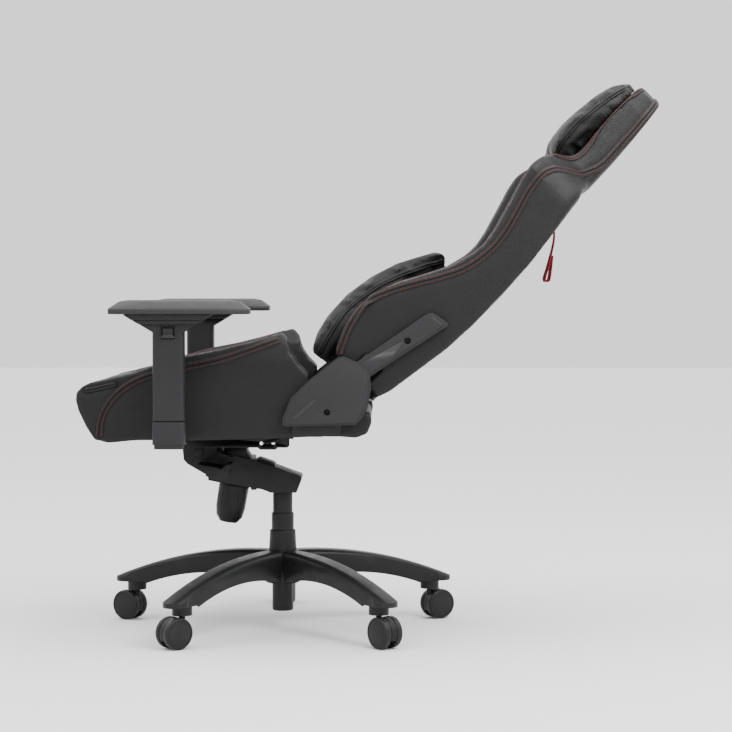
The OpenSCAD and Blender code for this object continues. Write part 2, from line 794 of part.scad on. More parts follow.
module flared_plate(z0, z1, x0, x1) {
    prism_x([[post_y - flare(z0), z0], [post_y - flare(z1), z1], [post_y + flare(z1), z1],
             [post_y + flare(z0), z0]], x0, x1);
}

module arm_slider() {
    z0 = post_top + 0.4;
    color(black_plastic) flared_plate(z0, slider_top, arm_x - 30, arm_x + 30);
}

module arm_turntable() {
    z0 = slider_top + 0.4;
    color(black_plastic) flared_plate(z0, turntable_top, arm_x - 34, arm_x + 34);
}

// Plan of a pad: an octagon with long tapered corners
module pad_plan(inset) {
    h = pad_w / 2 - inset;
    l = pad_l / 2 - inset;
    polygon([[-h + 18, -l], [h - 18, -l], [h, -l + 44], [h, l - 60], [h - 16, l], [-h + 16, l],
             [-h, l - 60], [-h, -l + 44]]);
}

module arm_pad() {
    color(black_plastic) translate([arm_x, post_y + 20, pad_z]) hull() {
        linear_extrude(10) pad_plan(0);
        linear_extrude(23) pad_plan(18);
        linear_extrude(26) pad_plan(34);
    }
}

star_base();
gas_tube();
cover_lower();
caster_hood(0);  // caster_hood_1
caster_hood(1);  // caster_hood_2
caster_hood(2);  // caster_hood_3
caster_hood(3);  // caster_hood_4
caster_hood(4);  // caster_hood_5
caster_wheels(0);  // caster_wheels_1
caster_wheels(1);  // caster_wheels_2
caster_wheels(2);  // caster_wheels_3
caster_wheels(3);  // caster_wheels_4
caster_wheels(4);  // caster_wheels_5
gas_piston();
cover_middle();
cover_upper();
mech_housing();
tension_knob();
height_lever();
tilt_lever();
seat_plate();
tilt_pin();
seat_bolts();
seat_frame();
seat_cushion();
seat_wing();  // seat_wing_left
mirror([1, 0, 0]) seat_wing();  // seat_wing_right
seat_bottom();
hinge_cover(false);  // hinge_cover_left
mirror([1, 0, 0]) hinge_cover(true);  // hinge_cover_right
hinge_screws();
recline_shaft();
recline_lever();
back_frame();
back_shell();
back_bolster();  // back_bolster_left
mirror([1, 0, 0]) back_bolster();  // back_bolster_right
back_pad();
back_head();
back_arm();  // back_arm_left
mirror([1, 0, 0]) back_arm();  // back_arm_right
back_arm_screws();
head_pillow();
lumbar_pillow();
pull_strap();
arm_bracket();  // arm_bracket_left
arm_foot();  // arm_foot_left
arm_post();  // arm_post_left
arm_trigger();  // arm_trigger_left
arm_slider();  // arm_slider_left
arm_turntable();  // arm_turntable_left
arm_pad();  // arm_pad_left
mirror([1, 0, 0]) arm_bracket();  // arm_bracket_right
mirror([1, 0, 0]) arm_foot();  // arm_foot_right
mirror([1, 0, 0]) arm_post();  // arm_post_right
mirror([1, 0, 0]) arm_trigger();  // arm_trigger_right
mirror([1, 0, 0]) arm_slider();  // arm_slider_right
mirror([1, 0, 0]) arm_turntable();  // arm_turntable_right
mirror([1, 0, 0]) arm_pad();  // arm_pad_right
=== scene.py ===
"""Looks of a reclining gaming chair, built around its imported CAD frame.

Metres, +Z up. The sitter faces -Y and the chair's left side is +X. Points called local are
on the upright backrest: (distance behind the recline axis, height above it).
"""

import json
import math

import bmesh
import bpy
import numpy as np
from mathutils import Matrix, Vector
from mathutils.bvhtree import BVHTree
from mathutils.kdtree import KDTree


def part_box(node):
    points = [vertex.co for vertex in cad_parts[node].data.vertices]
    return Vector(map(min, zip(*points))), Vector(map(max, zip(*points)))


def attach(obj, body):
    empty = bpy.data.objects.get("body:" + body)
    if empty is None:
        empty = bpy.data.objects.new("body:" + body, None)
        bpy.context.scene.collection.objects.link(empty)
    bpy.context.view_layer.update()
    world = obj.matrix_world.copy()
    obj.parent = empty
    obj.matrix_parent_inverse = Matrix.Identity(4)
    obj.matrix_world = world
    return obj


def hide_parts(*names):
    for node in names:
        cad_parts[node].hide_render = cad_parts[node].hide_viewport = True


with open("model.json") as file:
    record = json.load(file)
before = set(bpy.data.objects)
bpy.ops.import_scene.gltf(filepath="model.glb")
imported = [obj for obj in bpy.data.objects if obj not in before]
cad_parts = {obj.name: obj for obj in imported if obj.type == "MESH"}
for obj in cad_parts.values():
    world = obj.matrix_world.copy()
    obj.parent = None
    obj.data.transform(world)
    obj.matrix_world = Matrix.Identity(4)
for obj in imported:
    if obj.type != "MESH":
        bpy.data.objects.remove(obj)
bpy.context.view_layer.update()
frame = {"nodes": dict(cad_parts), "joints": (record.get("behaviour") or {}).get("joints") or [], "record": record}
NODES = frame["nodes"]
MM = 0.001


# ---------- Camera, light and floor ----------

CAMERA_AT = Vector((4.180, 0.2038, 0.671))
CAMERA_DIRECTION = Vector((-0.99931, -0.0090, -0.0361))
CAMERA_LENS = 103.4
CAMERA_SENSOR = 36
HORIZON_LIGHT = 1.35
SKY_LIGHT = 3.0
SKY_FADE = (0.12, 0.8)
CHAIR_MIDDLE = (0, 0.2, 0.6)
HEAD_MIDDLE = (0.2, 0.65, 0.95)
# Area lights: name, place, target, size in metres, power in watts
LIGHTS = [
    ("key", (1.2, -2.0, 3.4), CHAIR_MIDDLE, (2.4, 2.4), 70),
    ("top", (0.2, 1.2, 3.6), CHAIR_MIDDLE, (2.6, 2.2), 70),
    ("head", (1.5, 1.4, 2.0), HEAD_MIDDLE, (0.9, 0.9), 60),
]
FLOOR_HALF = 14
FLOOR_DROP = 0.0005
FLOOR_GREY = 0.62


def make_camera():
    data = bpy.data.cameras.new("camera")
    data.lens = CAMERA_LENS
    data.sensor_width = CAMERA_SENSOR
    data.clip_end = 60
    camera = bpy.data.objects.new("camera", data)
    bpy.context.scene.collection.objects.link(camera)
    camera.location = CAMERA_AT
    camera.rotation_mode = "QUATERNION"
    camera.rotation_quaternion = CAMERA_DIRECTION.to_track_quat("-Z", "Y")
    bpy.context.scene.camera = camera


def area_light(name, at, target, size, power):
    data = bpy.data.lights.new(name, "AREA")
    data.shape = "RECTANGLE"
    data.size, data.size_y = size
    data.energy = power
    light = bpy.data.objects.new(name, data)
    bpy.context.scene.collection.objects.link(light)
    light.location = at
    direction = Vector(target) - Vector(at)
    light.rotation_mode = "QUATERNION"
    light.rotation_quaternion = direction.to_track_quat("-Z", "Y")


def make_studio():
    world = bpy.data.worlds.new("studio")
    bpy.context.scene.world = world
    world.use_nodes = True
    nodes, links = world.node_tree.nodes, world.node_tree.links
    background = nodes["Background"]
    background.inputs["Color"].default_value = (1, 1, 1, 1)
    split = nodes.new("ShaderNodeSeparateXYZ")
    height = nodes.new("ShaderNodeMapRange")
    height.interpolation_type = "SMOOTHSTEP"
    height.inputs["From Min"].default_value, height.inputs["From Max"].default_value = SKY_FADE
    height.inputs["To Min"].default_value = HORIZON_LIGHT
    height.inputs["To Max"].default_value = SKY_LIGHT
    links.new(nodes.new("ShaderNodeTexCoord").outputs["Generated"], split.inputs["Vector"])
    links.new(split.outputs["Z"], height.inputs["Value"])
    links.new(height.outputs["Result"], background.inputs["Strength"])
    for light in LIGHTS:
        area_light(*light)


def make_floor():
    mesh = bpy.data.meshes.new("floor")
    corners = [(x * FLOOR_HALF, y * FLOOR_HALF, 0) for x, y in ((-1, -1), (1, -1), (1, 1), (-1, 1))]
    mesh.from_pydata(corners, [], [(0, 1, 2, 3)])
    floor = bpy.data.objects.new("floor", mesh)
    bpy.context.scene.collection.objects.link(floor)
    floor.location.z = -FLOOR_DROP
    paint = bpy.data.materials.new("floor_paint")
    paint.use_nodes = True
    shader = paint.node_tree.nodes["Principled BSDF"]
    shader.inputs["Base Color"].default_value = (FLOOR_GREY, FLOOR_GREY, FLOOR_GREY, 1)
    shader.inputs["Roughness"].default_value = 0.9
    shader.inputs["Specular IOR Level"].default_value = 0.1
    mesh.materials.append(paint)


# ---------- Materials ----------


class Finish:
    """A material whose nodes are added one at a time."""

    def __init__(self, name, roughness, metallic=0.0, coat=0.0, sheen=0.0, gloss=0.16):
        self.material = bpy.data.materials.new(name)
        self.material.use_nodes = True
        self.nodes = self.material.node_tree.nodes
        self.links = self.material.node_tree.links
        self.shader = self.nodes["Principled BSDF"]
        for socket, number in (("Roughness", roughness), ("Metallic", metallic), ("Coat Weight", coat),
                               ("Coat Roughness", 0.3), ("Sheen Weight", sheen), ("Sheen Roughness", 0.4),
                               ("Specular IOR Level", gloss)):
            self.shader.inputs[socket].default_value = number
        self.place = self.nodes.new("ShaderNodeTexCoord").outputs["Object"]

    def noise(self, scale, detail=3.0, roughness=0.55):
        node = self.nodes.new("ShaderNodeTexNoise")
        node.inputs["Scale"].default_value = scale
        node.inputs["Detail"].default_value = detail
        node.inputs["Roughness"].default_value = roughness
        self.links.new(self.place, node.inputs["Vector"])
        return node.outputs["Fac"]

    def cells(self, scale, feature="DISTANCE_TO_EDGE"):
        node = self.nodes.new("ShaderNodeTexVoronoi")
        node.feature = feature
        node.inputs["Scale"].default_value = scale
        self.links.new(self.place, node.inputs["Vector"])
        return node.outputs["Distance"]

    def mapped(self, value, from_low, from_high, to_low, to_high):
        node = self.nodes.new("ShaderNodeMapRange")
        for name, number in (("From Min", from_low), ("From Max", from_high),
                             ("To Min", to_low), ("To Max", to_high)):
            node.inputs[name].default_value = number
        self.links.new(value, node.inputs["Value"])
        return node.outputs["Result"]

    def mix(self, factor, low, high):
        node = self.nodes.new("ShaderNodeMix")
        node.data_type = "RGBA"
        self.links.new(factor, node.inputs["Factor"])
        for socket, value in ((node.inputs[6], low), (node.inputs[7], high)):
            if isinstance(value, tuple):
                socket.default_value = (*value, 1)
            else:
                self.links.new(value, socket)
        return node.outputs[2]

    def bump(self, height, distance, strength=1.0, under=None):
        node = self.nodes.new("ShaderNodeBump")
        node.inputs["Distance"].default_value = distance
        node.inputs["Strength"].default_value = strength
        self.links.new(height, node.inputs["Height"])
        if under is not None:
            self.links.new(under, node.inputs["Normal"])
        return node.outputs["Normal"]

    def edges(self):
        """High on convex edges, where the finishes paint a highlight."""
        return self.nodes.new("ShaderNodeNewGeometry").outputs["Pointiness"]

    def colour(self, value):
        self.links.new(value, self.shader.inputs["Base Color"])

    def roughness(self, value):
        self.links.new(value, self.shader.inputs["Roughness"])

    def normal(self, value):
        self.links.new(value, self.shader.inputs["Normal"])


def tint(colour, factor):
    return tuple(min(1.0, c * factor) for c in colour)


def leather(name, colour, shine=0.42, grain=520):
    """Synthetic leather: pebbled grain, soft creases and patchy shine."""
    finish = Finish(name, shine)
    cloudy = finish.noise(9, 4)
    # Painted highlight: convex edges are painted lighter, where rounded edges catch the light
    edge_highlight = finish.mapped(finish.edges(), 0.50, 0.56, 0.0, 0.5)
    patchy = finish.mix(cloudy, tint(colour, 0.82), tint(colour, 1.18))
    finish.colour(finish.mix(edge_highlight, patchy, tint(colour, 1.7)))
    finish.roughness(finish.mapped(finish.noise(38, 3), 0.3, 0.7, shine - 0.07, shine + 0.08))
    creases = finish.bump(finish.noise(30, 3), 0.0012, 0.35)
    pebble_height = finish.mapped(finish.cells(grain), 0.0, 0.35, 0.0, 1.0)
    pebbles = finish.bump(pebble_height, 0.00035, 0.55, creases)
    finish.normal(finish.bump(finish.noise(grain * 3, 2), 0.00008, 0.5, pebbles))
    return finish.material


def moulded(name, colour, shine=0.45, grain=900, depth=0.00012):
    """Moulded plastic with a spark-eroded grain and a painted highlight on its convex edges."""
    finish = Finish(name, shine)
    cloudy = finish.noise(14, 3)
    # Painted highlight: convex edges are painted lighter, where rounded edges catch the light
    edge_highlight = finish.mapped(finish.edges(), 0.505, 0.58, 0.0, 0.45)
    base = finish.mix(cloudy, tint(colour, 0.9), tint(colour, 1.12))
    finish.colour(finish.mix(edge_highlight, base, tint(colour, 1.8)))
    finish.roughness(finish.mapped(finish.noise(60, 3), 0.3, 0.7, shine - 0.05, shine + 0.07))
    finish.normal(finish.bump(finish.noise(grain, 4, 0.6), depth, 0.6))
    return finish.material


def powder_coat(name, colour, shine=0.4):
    """Powder coated steel: orange peel, and a little dust in patches."""
    finish = Finish(name, shine, coat=0.05)
    dust = finish.mapped(finish.noise(22, 5), 0.45, 0.75, 0.0, 0.3)
    finish.colour(finish.mix(dust, colour, tint(colour, 1.6)))
    finish.roughness(finish.mapped(finish.noise(45, 3), 0.3, 0.7, shine - 0.06, shine + 0.08))
    finish.normal(finish.bump(finish.noise(420, 2), 0.00025, 0.4))
    return finish.material


def bare_steel(name, colour, shine=0.3):
    """Plated steel with fine turning marks."""
    finish = Finish(name, shine, metallic=1.0, gloss=0.5)
    finish.colour(finish.mix(finish.noise(35, 4), tint(colour, 0.8), tint(colour, 1.1)))
    finish.roughness(finish.mapped(finish.noise(140, 2), 0.3, 0.7, shine - 0.06, shine + 0.1))
    finish.normal(finish.bump(finish.noise(1500, 2), 0.00005, 0.4))
    return finish.material


def webbing(name, colour):
    """Woven strap: ribs across and along it."""
    finish = Finish(name, 0.75, sheen=0.1)
    finish.colour(finish.mix(finish.cells(700, "F1"), tint(colour, 1.15), tint(colour, 0.55)))
    finish.normal(finish.bump(finish.cells(620, "F1"), 0.0006, 0.8))
    return finish.material


def felt(name, colour):
    """Non-woven cloth under the seat."""
    finish = Finish(name, 0.9)
    finish.colour(finish.mix(finish.noise(300, 5), tint(colour, 0.7), tint(colour, 1.3)))
    finish.normal(finish.bump(finish.noise(900, 5), 0.0004, 0.7))
    return finish.material


def thread(name, colour):
    """Sewing thread, twisted."""
    finish = Finish(name, 0.55)
    finish.colour(finish.mix(finish.noise(900, 3), tint(colour, 0.75), tint(colour, 1.25)))
    finish.normal(finish.bump(finish.cells(1800, "F1"), 0.0002, 0.6))
    return finish.material


BLACK_LEATHER = (0.0080, 0.0079, 0.0081)
MATERIALS = {
    "base": moulded("base_nylon", (0.009, 0.009, 0.0094), 0.36, 1100),
    "caster_hood": moulded("caster_hood", (0.007, 0.007, 0.0075), 0.42),
    "caster_wheel": moulded("caster_wheel", (0.011, 0.011, 0.0115), 0.38),
    "lift_tube": powder_coat("lift_tube", (0.010, 0.010, 0.0105), 0.38),
    "polished_rod": bare_steel("polished_rod", (0.62, 0.62, 0.64), 0.16),
    "lift_cover": moulded("lift_cover", (0.011, 0.011, 0.0115), 0.42),
    "mechanism": powder_coat("mechanism", (0.0065, 0.0065, 0.0068), 0.42),
    "controls": moulded("controls", (0.008, 0.008, 0.0083), 0.40),
    "zinc_steel": bare_steel("zinc_steel", (0.10, 0.10, 0.105), 0.42),
    "frame_tube": powder_coat("frame_tube", (0.010, 0.010, 0.010)),
    "seat_leather": leather("seat_leather", BLACK_LEATHER, 0.46),
    "underside_cloth": felt("underside_cloth", (0.006, 0.006, 0.0063)),
    "side_cover": moulded("side_cover", (0.016, 0.016, 0.0168), 0.44),
    # Painted light: the back and pillows use the seat's black leather painted a tenth lighter, standing in for the
    # stronger light on them
    "back_leather": leather("back_leather", tint(BLACK_LEATHER, 1.1), 0.44),
    "pillow_leather": leather("pillow_leather", tint(BLACK_LEATHER, 1.1), 0.44),
    "strap_webbing": webbing("strap_webbing", (0.34, 0.004, 0.024)),
    "arm_steel": powder_coat("arm_steel", (0.007, 0.007, 0.0073)),
    "arm_plastic": moulded("arm_plastic", (0.0145, 0.0145, 0.0153), 0.42),
    "arm_button": moulded("arm_button", (0.020, 0.020, 0.021), 0.38),
    "arm_pad": moulded("arm_pad", (0.018, 0.018, 0.0188), 0.46, 700, 0.0002),
}
RED_THREAD = thread("red_thread", (0.125, 0.004, 0.014))
SEAM_SHADOW = leather("seam_shadow", (0.002, 0.002, 0.002), 0.6)


# ---------- Carried-over CAD nodes ----------

SOFT_NODES = {
    "seat_cushion", "seat_wing_left", "seat_wing_right", "back_shell", "back_bolster_left",
    "back_bolster_right", "back_pad", "back_head", "head_pillow", "lumbar_pillow", "pull_strap",
}
# Edge radii in millimetres, by the start of the node's name
EDGE_RADIUS = {
    "arm_pad": 4.0, "arm_slider": 0.8, "arm_turntable": 0.8, "arm_post": 1.2, "arm_foot": 1.5,
    "back_arm": 0.8, "hinge_cover": 0.8, "star_base": 1.5, "caster_wheel": 1.0, "mech_housing": 1.5,
    "tension_knob": 1.5, "height_lever": 1.5, "tilt_lever": 2.0, "recline_lever": 1.5,
}
DEFAULT_EDGE = 0.4
EDGE_SEGMENTS = 3
EDGE_ANGLE = math.radians(32)
WELD_DISTANCE = 0.00002


def shade_smooth(obj, angle=35):
    mesh = obj.data
    mesh.polygons.foreach_set("use_smooth", [True] * len(mesh.polygons))
    mesh.set_sharp_from_angle(angle=math.radians(angle))


def dress_cad_nodes():
    """Procedural finish and rounded edges for the nodes whose CAD shape is right."""
    for part in frame["record"]["subparts"]:
        name = part["node"]
        if name in SOFT_NODES:
            continue
        obj = NODES[name]
        obj.data.materials.clear()
        obj.data.materials.append(MATERIALS[part["material_slot"]])
        weld = obj.modifiers.new("weld", "WELD")
        weld.merge_threshold = WELD_DISTANCE
        stem = next((s for s in EDGE_RADIUS if name.startswith(s)), None)
        bevel = obj.modifiers.new("edges", "BEVEL")
        bevel.width = EDGE_RADIUS.get(stem, DEFAULT_EDGE) * MM
        bevel.segments = EDGE_SEGMENTS
        bevel.limit_method = "ANGLE"
        bevel.angle_limit = EDGE_ANGLE
        bevel.use_clamp_overlap = True
        bevel.harden_normals = False
        shade_smooth(obj)


# ---------- Mesh tools ----------


def new_object(name, vertices, faces, material, body, slot):
    mesh = bpy.data.meshes.new(name)
    mesh.from_pydata([tuple(v) for v in vertices], [], faces)
    mesh.polygons.foreach_set("use_smooth", [True] * len(mesh.polygons))
    mesh.materials.append(material)
    mesh.update()
    obj = bpy.data.objects.new(name, mesh)
    bpy.context.scene.collection.objects.link(obj)
    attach(obj, body)
    return obj


def applied(obj):
    """The object's mesh with its modifiers applied, which are then removed."""
    bpy.context.view_layer.update()
    evaluated = obj.evaluated_get(bpy.context.evaluated_depsgraph_get())
    mesh = bpy.data.meshes.new_from_object(evaluated)
    old = obj.data
    obj.modifiers.clear()
    obj.data = mesh
    bpy.data.meshes.remove(old)
    return obj


def points_of(mesh):
    flat = np.zeros(len(mesh.vertices) * 3)
    mesh.vertices.foreach_get("co", flat)
    return flat.reshape(-1, 3)


def set_points(mesh, points):
    mesh.vertices.foreach_set("co", points.astype(np.float32).ravel())
    mesh.update()


def normals_of(mesh):
    flat = np.zeros(len(mesh.vertices) * 3)
    mesh.vertices.foreach_get("normal", flat)
    return flat.reshape(-1, 3)


def relax(mesh, rounds, share=1.0, shrink=0.5, swell=-0.52):
    """Taubin smoothing: rounds corners off and keeps the volume. share can be one number a point."""
    edges = np.zeros(len(mesh.edges) * 2, int)
    mesh.edges.foreach_get("vertices", edges)
    a, b = edges.reshape(-1, 2).T
    points = points_of(mesh)
    count = len(points)
    valence = (np.bincount(a, minlength=count) + np.bincount(b, minlength=count))[:, None]
    for _ in range(rounds):
        for factor in (shrink, swell):
            total = np.stack([
                np.bincount(a, points[b, i], count) + np.bincount(b, points[a, i], count)
                for i in range(3)
            ], axis=1)
            points = points + share * factor * (total / valence - points)
    set_points(mesh, points)


def remeshed(name, nodes, voxel, rounds, material, shrink):
    """One closed mesh around copies of CAD nodes, drawn in by shrink, with its corners rounded off."""
    joined = bmesh.new()
    for node in nodes:
        joined.from_mesh(NODES[node].data)
    mesh = bpy.data.meshes.new(name)
    joined.to_mesh(mesh)
    joined.free()
    mesh.materials.clear()
    mesh.materials.append(material)
    obj = bpy.data.objects.new(name, mesh)
    bpy.context.scene.collection.objects.link(obj)
    modifier = obj.modifiers.new("remesh", "REMESH")
    modifier.mode = "VOXEL"
    modifier.voxel_size = voxel
    applied(obj)
    set_points(obj.data, points_of(obj.data) - shrink * normals_of(obj.data))
    relax(obj.data, rounds)
    obj.data.polygons.foreach_set("use_smooth", [True] * len(obj.data.polygons))
    if not obj.data.materials:
        obj.data.materials.append(material)
    return obj


def curve_points(points, step=0.002):
    """Points every step along a smooth curve through the given points."""
    control = [Vector(p) for p in points]
    control = [2 * control[0] - control[1], *control, 2 * control[-1] - control[-2]]
    dense = []
    for i in range(1, len(control) - 2):
        p0, p1, p2, p3 = control[i - 1:i + 3]
        pieces = max(2, int((p2 - p1).length / step))
        for k in range(pieces):
            t = k / pieces
            dense.append(0.5 * ((2 * p1) + (p2 - p0) * t + (2 * p0 - 5 * p1 + 4 * p2 - p3) * t * t
                                + (3 * p1 - p0 - 3 * p2 + p3) * t ** 3))
    dense.append(control[-2])
    spaced = [dense[0]]
    for p in dense[1:]:
        if (p - spaced[-1]).length >= step:
            spaced.append(p)
    return spaced


def tree_of(obj):
    vertices = [v.co.copy() for v in obj.data.vertices]
    return BVHTree.FromPolygons(vertices, [list(p.vertices) for p in obj.data.polygons])


RAY_START = 0.25
TRACK_REACH = 3


def on_surface(tree, points, direction=None):
    """(point, normal) on the surface: along direction where one is given, else the nearest."""
    found = []
    for p in points:
        hit, normal = None, None
        if direction is not None:
            hit, normal, _, _ = tree.ray_cast(p - direction * RAY_START, direction)
        if hit is None:
            hit, normal, _, _ = tree.find_nearest(p)
        found.append((hit, normal))
    smooth = []
    for i in range(len(found)):
        near = found[max(0, i - TRACK_REACH):i + TRACK_REACH + 1]
        place = sum((n[0] for n in near), Vector()) / len(near)
        normal = sum((n[1] for n in near), Vector()).normalized()
        smooth.append((place, normal))
    return smooth


def eased(track, reach=8):
    """The points of a track with its small kinks averaged out."""
    last = len(track) - 1
    even = []
    for i in range(last + 1):
        near = [track[min(max(i + k, 0), last)][0] for k in range(-reach, reach + 1)]
        even.append(sum(near, Vector()) / len(near))
    return even


def swept(track, profile):
    """Vertices and faces of a strip along the track; profile is (across, out of the surface)."""
    vertices, faces = [], []
    width = len(profile)
    for i, (p, n) in enumerate(track):
        ahead = track[min(i + 1, len(track) - 1)][0] - track[max(i - 1, 0)][0]
        across = ahead.cross(n).normalized()
        fade = min(1.0, 0.15 + min(i, len(track) - 1 - i) / 4)
        vertices += [p + across * a * fade + n * h * (fade if h > 0 else 1) for a, h in profile]
        if i:
            for k in range(width - 1):
                low = (i - 1) * width + k
                faces.append((low, low + 1, low + width + 1, low + width))
    faces.append(tuple(reversed(range(width))))
    last = (len(track) - 1) * width
    faces.append(tuple(range(last, last + width)))
    return vertices, faces


STITCH_PITCH = 0.0054
STITCH_LENGTH = 0.0037
STITCH_RADIUS = 0.00042
STITCH_DIP = 0.0005
# Rings of one stitch: (place along it, thickness), as shares
STITCH_RINGS = [(-0.5, 0.35), (-0.36, 0.9), (0.0, 1.0), (0.36, 0.9), (0.5, 0.35)]
STITCH_SIDES = 6


def stitch_row(track, offset, lift):
    """A row of short rounded stitches at that distance beside the track."""
    vertices, faces = [], []
    sides, travelled, due = STITCH_SIDES, 0.0, STITCH_PITCH
    for i in range(1, len(track)):
        (a, _), (b, n) = track[i - 1], track[i]
        travelled += (b - a).length
        if travelled < due:
            continue
        due += STITCH_PITCH
        along = (b - a).normalized()
        across = along.cross(n).normalized()
        middle = b + across * offset + n * lift
        start = len(vertices)
        for place, share in STITCH_RINGS:
            dip = -STITCH_DIP * (2 * place) ** 4
            radius = STITCH_RADIUS * share
            for s in range(sides):
                angle = 2 * math.pi * s / sides
                vertices.append(middle + along * place * STITCH_LENGTH + across * math.cos(angle) * radius
                                + n * (math.sin(angle) * radius + dip))
        for ring in range(len(STITCH_RINGS) - 1):
            for s in range(sides):
                low = start + ring * sides
                faces.append((low + s, low + (s + 1) % sides,
                              low + sides + (s + 1) % sides, low + sides + s))
        faces.append(tuple(start + s for s in reversed(range(sides))))
        faces.append(tuple(start + (len(STITCH_RINGS) - 1) * sides + s for s in range(sides)))
    return vertices, faces


def add(parts, part):
    """Puts the vertices and faces of part after those in parts."""
    vertices, faces = parts
    start = len(vertices)
    vertices += part[0]
    faces += [tuple(start + i for i in f) for f in part[1]]


# A seam's section: the leather rises beside the stitches and dips where the panels meet
DOUBLE_SEAM = [(-0.0080, -0.0012), (-0.0068, 0.0002), (-0.0050, 0.0010), (-0.0030, 0.0016),
               (-0.0012, 0.0013), (-0.0004, -0.0006), (0.0004, -0.0006), (0.0012, 0.0013),
               (0.0030, 0.0016), (0.0050, 0.0010), (0.0068, 0.0002), (0.0080, -0.0012)]
SINGLE_SEAM = [(-0.0048, -0.0010), (-0.0036, 0.0004), (-0.0016, 0.0009), (-0.0004, -0.0008),
               (0.0004, -0.0008), (0.0016, 0.0009), (0.0036, 0.0004), (0.0048, -0.0010)]
GAP_LINE = [(-0.0011, -0.0010), (-0.0007, 0.0002), (0.0, 0.0004), (0.0007, 0.0002), (0.0011, -0.0010)]
# Where the rows of stitches lie beside a seam, and how high they lie on it
OUTER_ROWS = (-0.0045, 0.0045)
INNER_ROWS = (-0.0030, 0.0030)
OUTER_LIFT = 0.0013
INNER_LIFT = 0.0007


def seam_set(name, tracks, body, slot, section=DOUBLE_SEAM, rows=OUTER_ROWS, lift=OUTER_LIFT, gap=1.0):
    """Seams along the tracks, with rows of red stitches beside them."""
    strip, dark, thread_parts = ([], []), ([], []), ([], [])
    for track in tracks:
        add(strip, swept(track, section))
        add(dark, swept(track, [(a * gap, h) for a, h in GAP_LINE]))
        for offset in rows:
            add(thread_parts, stitch_row(track, offset, lift))
    new_object(name + "_welt", *strip, MATERIALS[slot], body, slot)
    new_object(name + "_crease", *dark, SEAM_SHADOW, body, slot)
    if rows:
        new_object(name + "_stitches", *thread_parts, RED_THREAD, body, slot)


def press_in(obj, tracks, depth, width):
    """Pulls the surface in along the tracks, as a seam does to foam."""
    samples = [p for track in tracks for p, _ in track[::2]]
    near = KDTree(len(samples))
    for i, p in enumerate(samples):
        near.insert(p, i)
    near.balance()
    points, normals = points_of(obj.data), normals_of(obj.data)
    away = np.array([near.find(p)[2] for p in points])
    points -= normals * (depth * np.exp(-((away / width) ** 2)))[:, None]
    set_points(obj.data, points)


def crown(obj, inside, depth):
    """Pushes the surface out by depth times inside(point, normal), a share from 0 to 1."""
    points, normals = points_of(obj.data), normals_of(obj.data)
    share = np.array([inside(p, n) for p, n in zip(points, normals)])
    set_points(obj.data, points + normals * (share * depth)[:, None])


CLOTH_PRESSURE = 4.0
CLOTH_CAP = 0.010
CLOTH_FRAMES = 20
CLOTH_STIFFNESS = 40


def inflated(obj):
    """Cloth under inner pressure, as in a stuffed cover; no point moves further than the cap."""
    start = points_of(obj.data)
    cloth = obj.modifiers.new("cloth", "CLOTH")
    cloth.settings.quality = 5
    cloth.settings.mass = 0.4
    cloth.settings.tension_stiffness = CLOTH_STIFFNESS
    cloth.settings.compression_stiffness = CLOTH_STIFFNESS
    cloth.settings.bending_stiffness = 1.2
    cloth.settings.use_pressure = True
    cloth.settings.uniform_pressure_force = CLOTH_PRESSURE
    cloth.settings.effector_weights.gravity = 0
    cloth.collision_settings.use_collision = False
    for step in range(1, CLOTH_FRAMES + 1):
        bpy.context.scene.frame_set(step)
    applied(obj)
    bpy.context.scene.frame_set(1)
    moved = points_of(obj.data) - start
    far = np.linalg.norm(moved, axis=1)[:, None]
    set_points(obj.data, start + moved * np.minimum(1, CLOTH_CAP / np.maximum(far, 1e-9)))


def bump_at(value, middle, width):
    """1 at the middle, fading to 0 over about two widths."""
    return math.exp(-(((value - middle) / width) ** 2))


# ---------- Seat ----------

HINGE = Vector(next(j for j in frame["joints"] if j["name"] == "recline")["pos_m"])
RECLINE = math.radians(45)
WING_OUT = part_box("seat_wing_left")[1].x
CREST_X = 0.238
REAR_X = 0.247
COVER_VOXEL = 0.0035
# Directions in which a seam is cast on to a cover
DOWN = Vector((0, 0, -1))
TO_REAR = Vector((0, 1, 0))
TO_FRONT = Vector((0, -1, 0))
FROM_SIDE = {1: Vector((-1, 0, 0)), -1: Vector((1, 0, 0))}

# Seams of the left wing, (Y, Z) in millimetres, from the front to the rear
WING_SEAM = [(-331, 392), (-327, 428), (-314, 456), (-295, 478), (-272, 495), (-249, 506), (-225, 514),
             (-160, 529), (-104, 541), (-48, 559), (0, 576), (12, 580)]
WING_CREST = [(-322, 501), (-262, 516), (-231, 527), (-167, 547), (-104, 559), (-48, 573), (0, 587)]
WING_REAR = [(8, 582), (17, 562), (25, 541), (38, 522), (54, 506)]
# The gap under the cushion's nose: (Y, Z) up the wing's side, then straight across the front
NOSE_SIDE = [(-292, 497), (-306, 494), (-322, 490), (-340, 486), (-356, 483), (-366, 481)]
NOSE_Z = 481
NOSE_AHEAD = -0.380
# Sewn channels across the centre panel
CHANNEL_PITCH = 0.045
CHANNEL_START = -0.34
CHANNEL_HALF = 0.186
CHANNEL_DEPTH = 0.004
SIDE_CROWN = 0.004
# How far the leather draws in at a seam, and over what distance
OUTER_PULL = (0.0025, 0.010)
INNER_PULL = (0.0020, 0.009)
NOSE_PULL = (0.004, 0.008)


def side_points(outline, x, sign):
    return [Vector((sign * x, y * MM, z * MM)) for y, z in outline]


